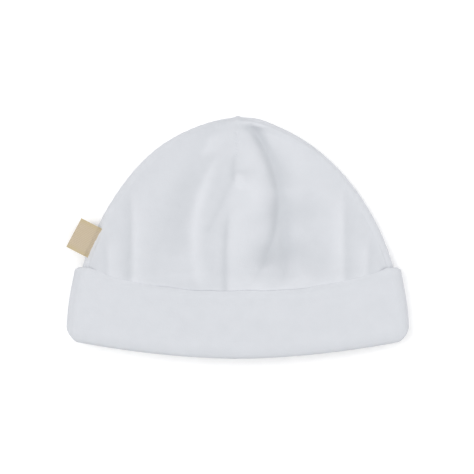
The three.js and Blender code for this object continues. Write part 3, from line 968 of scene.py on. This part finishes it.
def sewing_thread(name, colour):
    """Cotton thread: matt, with the two plies that are twisted into it showing as fine diagonal bands."""
    material, tree, output = new_material(name)
    place = add_node(tree, "ShaderNodeTexCoord").outputs["Object"]
    plies = add_node(
        tree,
        "ShaderNodeTexWave",
        {"bands_direction": "DIAGONAL"},
        Vector=place,
        Scale=WAVE_SCALE / PLY_SPACING,
        Distortion=0.4,
    )
    twist = add_node(tree, "ShaderNodeBump", Strength=0.4, Distance=0.0001, Height=plies.outputs["Fac"])
    surface = add_node(
        tree,
        "ShaderNodeBsdfPrincipled",
        Base_Color=srgb(colour),
        Roughness=0.75,
        Specular_IOR_Level=0.3,
        Normal=twist.outputs["Normal"],
    )
    tree.links.new(surface.outputs[0], output.inputs[0])
    return material


# %% Dart stitches
ZIGZAG_TOP = 102.3
ZIGZAG_FOOT = 89.8
ZIGZAG_STEP = 1.25
ZIGZAG_WIDTH = 2.4
THREAD_THICKNESS = 0.34
THREAD_SUNK = 0.1  # how far the thread is pressed into the pile

zigzag_y = np.arange(ZIGZAG_TOP, ZIGZAG_FOOT, -ZIGZAG_STEP)
zigzag_x = np.full(len(zigzag_y), DART_X)
zigzag_side = np.where(np.arange(len(zigzag_y)) % 2 == 0, 1.0, -1.0)
cloth_z = front_surface(zigzag_x, zigzag_y)
zigzag_places = np.stack([zigzag_x, zigzag_y, cloth_z + THREAD_THICKNESS / 2 - THREAD_SUNK], axis=-1)
fall = front_surface(zigzag_x, zigzag_y - 1.0) - cloth_z
zigzag_turns = np.stack(
    [zigzag_side * ZIGZAG_WIDTH, np.full(len(zigzag_y), -ZIGZAG_STEP), fall * ZIGZAG_STEP], axis=-1
)
dart_stitches = sew(
    "dart_stitches",
    zigzag_places,
    zigzag_turns,
    math.hypot(ZIGZAG_WIDTH, ZIGZAG_STEP),
    THREAD_THICKNESS,
    sewing_thread("white cotton thread", "#D9DBE0"),
)

# %% Label stitches
LABEL_STITCHES = 8
LABEL_STITCH = 1.3  # millimetres long
LABEL_STITCH_IN = 1.9  # from the label's root
LABEL_THREAD = 0.28
LABEL_THREAD_PROUD = 0.05  # the thread's middle above the tape's face


def label_stitch_points():
    """Places on the label's upper face, in a row beside the seam."""
    seam = label_root()
    across = (np.arange(LABEL_STITCHES) + 0.5) / LABEL_STITCHES - 0.5
    side = across * LABEL_WIDTH
    sewn = 1.0 - ease(LABEL_STITCH_IN, 0.0, LABEL_SEWN)
    half = LABEL_PLY + LABEL_SLIT / 2
    pressed = half * (1.0 - LABEL_PRESSED * sewn)
    height = seam[2] + GAP + half + pressed - (GAP + half + LABEL_SINK) * sewn
    x = seam[0] + LABEL_STITCH_IN * math.cos(LABEL_TURN) - side * math.sin(LABEL_TURN)
    y = seam[1] + LABEL_STITCH_IN * math.sin(LABEL_TURN) + side * math.cos(LABEL_TURN)
    return np.stack([x, y, height + LABEL_THREAD_PROUD + 0 * x], axis=-1)


label_direction = [(-math.sin(LABEL_TURN), math.cos(LABEL_TURN), 0.0)] * LABEL_STITCHES
label_stitches = sew(
    "label_stitches",
    label_stitch_points(),
    label_direction,
    LABEL_STITCH,
    LABEL_THREAD,
    sewing_thread("undyed cotton thread", "#D2C3AD"),
)

# %% [markdown]
# ## Velour
#
# Cotton velour is a knit with a short cut pile. The pile stands up, so the cloth has no gloss and shows
# a fine grain. A Principled shader with full roughness and a trace of sheen gives that, with two layers
# of bump: the grain of the pile, drawn at 0.7 mm because its real 0.3 mm is too fine to show, and soft
# patches about 6 mm across where the pile leans. The crest attribute, which holds painted highlight and
# painted shade, and the same patches mix a light tone with a darker one. Hair would be truer up close,
# but it would cost far more than shows from this far away.

# %% Velour material
GRAIN_SIZE = 0.0007
PATCH_SIZE = 0.006
PATCH_TINT = 0.25  # how far the leaning patches of the pile change its tone


def velour(name, colour, shade):
    """Velour whose tone runs from the shade to the colour: painted shade and painted highlight from the
    crest attribute, and the pile's own random patches.
    """
    material, tree, output = new_material(name)
    place = add_node(tree, "ShaderNodeTexCoord").outputs["Object"]
    grain = add_node(
        tree, "ShaderNodeTexNoise", Vector=place, Scale=1.0 / GRAIN_SIZE, Detail=3.0, Roughness=0.6
    )
    patches = add_node(
        tree, "ShaderNodeTexNoise", Vector=place, Scale=1.0 / PATCH_SIZE, Detail=2.0, Roughness=0.5
    )
    # The crest attribute is painted light: highlight on crests and edges, shade in valleys and at the cuff's
    # fold.
    crest = add_node(tree, "ShaderNodeAttribute", {"attribute_name": "crest"})
    painted_light_and_patches = add_node(
        tree,
        "ShaderNodeMath",
        {"operation": "MULTIPLY_ADD", "use_clamp": True},
        in0=patches.outputs["Fac"],
        in1=PATCH_TINT,
        in2=crest.outputs["Fac"],
    )
    even = add_node(
        tree,
        "ShaderNodeMath",
        {"operation": "SUBTRACT", "use_clamp": True},
        in0=painted_light_and_patches.outputs[0],
        in1=PATCH_TINT / 2,
    )
    tint = add_node(
        tree,
        "ShaderNodeMix",
        {"data_type": "RGBA"},
        Factor=even.outputs[0],
        in6=srgb(shade),
        in7=srgb(colour),
    )
    pile = add_node(tree, "ShaderNodeBump", Strength=0.35, Distance=0.0002, Height=grain.outputs["Fac"])
    lean = add_node(
        tree,
        "ShaderNodeBump",
        Strength=0.25,
        Distance=0.0006,
        Height=patches.outputs["Fac"],
        Normal=pile.outputs["Normal"],
    )
    surface = add_node(
        tree,
        "ShaderNodeBsdfPrincipled",
        Base_Color=tint.outputs[2],
        Roughness=1.0,
        Specular_IOR_Level=0.1,
        Sheen_Weight=0.05,
        Sheen_Roughness=0.5,
        Normal=lean.outputs["Normal"],
    )
    tree.links.new(surface.outputs[0], output.inputs[0])
    return material


crown_velour = velour("cotton velour, crown", "#DBDDE2", "#C5C8CD")
# The cuff's velour is the crown's, painted a little lighter: painted light that makes up for the shade on
# its drooping face.
cuff_velour = velour("cotton velour, cuff", "#DEE0E5", "#C6C9CE")
set_painted_light(front_panel, lambda x, y: painted_fold_light_at(x, y) + painted_edge_light_at(x, y) + painted_lip_light_at(x, y))
set_painted_light(back_panel, lambda x, y: 0.5 + painted_edge_light_at(x, y))
set_painted_light(cuff, cuff_painted_light_at)
front_panel.data.materials.append(crown_velour)
back_panel.data.materials.append(crown_velour)
cuff.data.materials.append(cuff_velour)

# %% [markdown]
# ## Woven tape
#
# The label is ribbed cotton tape, unbleached. Its ribs run out from the seam, about 0.8 mm apart, and
# the threads that cross them are finer. Along both woven edges the tape is a little yellower. Waves in
# the tape's own directions give the ribs and the threads, and an attribute gives the edges.

# %% Place across the tape
TAPE_EDGE_FROM = 0.6  # share of the tape's half width where its edge begins


def set_tape_edges(piece):
    """From 0 in the middle of the tape to 1 at its two woven edges."""
    across = np.abs(np.linspace(-1.0, 1.0, LABEL_COLUMNS))
    points = len(piece.data.vertices) // LABEL_COLUMNS
    edges = np.repeat(ease(across, TAPE_EDGE_FROM, 1.0), points)
    attribute = piece.data.attributes.new("tape_edge", "FLOAT", "POINT")
    attribute.data.foreach_set("value", edges.astype(np.float32))


# %% Tape material
RIB_SPACING = 0.0008
THREAD_SPACING = 0.00055
THREAD_SHARE = 0.35  # height of the crossing threads beside the ribs
EDGE_YELLOWING = 0.6
SLUB_SIZE = 0.004
SLUB_YELLOWING = 0.35


def woven_tape():
    """Ribbed tape: painted shade between the threads, light on them, and yellower at the edges and in
    patches.
    """
    material, tree, output = new_material("ribbed cotton tape")
    place = add_node(tree, "ShaderNodeTexCoord").outputs["Object"]
    turned = add_node(tree, "ShaderNodeMapping", Vector=place, Rotation=(0.0, 0.0, -LABEL_TURN))
    ribs = add_node(
        tree,
        "ShaderNodeTexWave",
        {"bands_direction": "Y"},
        Vector=turned.outputs[0],
        Scale=WAVE_SCALE / RIB_SPACING,
        Distortion=0.8,
        Detail=1.0,
    )
    threads = add_node(
        tree,
        "ShaderNodeTexWave",
        {"bands_direction": "X"},
        Vector=turned.outputs[0],
        Scale=WAVE_SCALE / THREAD_SPACING,
        Distortion=0.6,
        Detail=1.0,
    )
    crossed = add_node(
        tree,
        "ShaderNodeMath",
        {"operation": "MULTIPLY_ADD"},
        in0=threads.outputs["Fac"],
        in1=THREAD_SHARE,
        in2=ribs.outputs["Fac"],
    )
    # Painted shade: the tape is darker between the threads and ribs than on them.
    shaded_weave = add_node(
        tree,
        "ShaderNodeMix",
        {"data_type": "RGBA"},
        Factor=crossed.outputs[0],
        in6=srgb("#AF9F88"),
        in7=srgb("#D2C3AD"),
    )
    slubs = add_node(tree, "ShaderNodeTexNoise", Vector=place, Scale=1.0 / SLUB_SIZE, Detail=2.0)
    edge = add_node(tree, "ShaderNodeAttribute", {"attribute_name": "tape_edge"})
    yellowed = add_node(
        tree,
        "ShaderNodeMath",
        {"operation": "MULTIPLY_ADD", "use_clamp": True},
        in0=edge.outputs["Fac"],
        in1=EDGE_YELLOWING,
        in2=0.0,
    )
    patchy = add_node(
        tree,
        "ShaderNodeMath",
        {"operation": "MULTIPLY_ADD", "use_clamp": True},
        in0=slubs.outputs["Fac"],
        in1=SLUB_YELLOWING,
        in2=yellowed.outputs[0],
    )
    tint = add_node(
        tree,
        "ShaderNodeMix",
        {"data_type": "RGBA"},
        Factor=patchy.outputs[0],
        in6=shaded_weave.outputs[2],
        in7=srgb("#C4B48F"),
    )
    relief = add_node(tree, "ShaderNodeBump", Strength=0.6, Distance=0.0002, Height=crossed.outputs[0])
    surface = add_node(
        tree,
        "ShaderNodeBsdfPrincipled",
        Base_Color=tint.outputs[2],
        Roughness=0.85,
        Specular_IOR_Level=0.25,
        Sheen_Weight=0.1,
        Normal=relief.outputs["Normal"],
    )
    tree.links.new(surface.outputs[0], output.inputs[0])
    return material


set_tape_edges(side_label)
side_label.data.materials.append(woven_tape())

# %% [markdown]
# ## Joining the frame
#
# Each fine piece rides on the cap's one body and takes the place of its solid.

# %% Hand over to the frame
for piece, node, finish in [
    (front_panel, "front_panel", "velour"),
    (back_panel, "back_panel", "velour"),
    (cuff, "cuff", "cuff_velour"),
    (side_label, "side_label", "label_tape"),
]:
    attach(piece, "root")
    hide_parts(node)
for piece, finish in [(dart_stitches, "velour"), (label_stitches, "label_tape")]:
    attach(piece, "root")
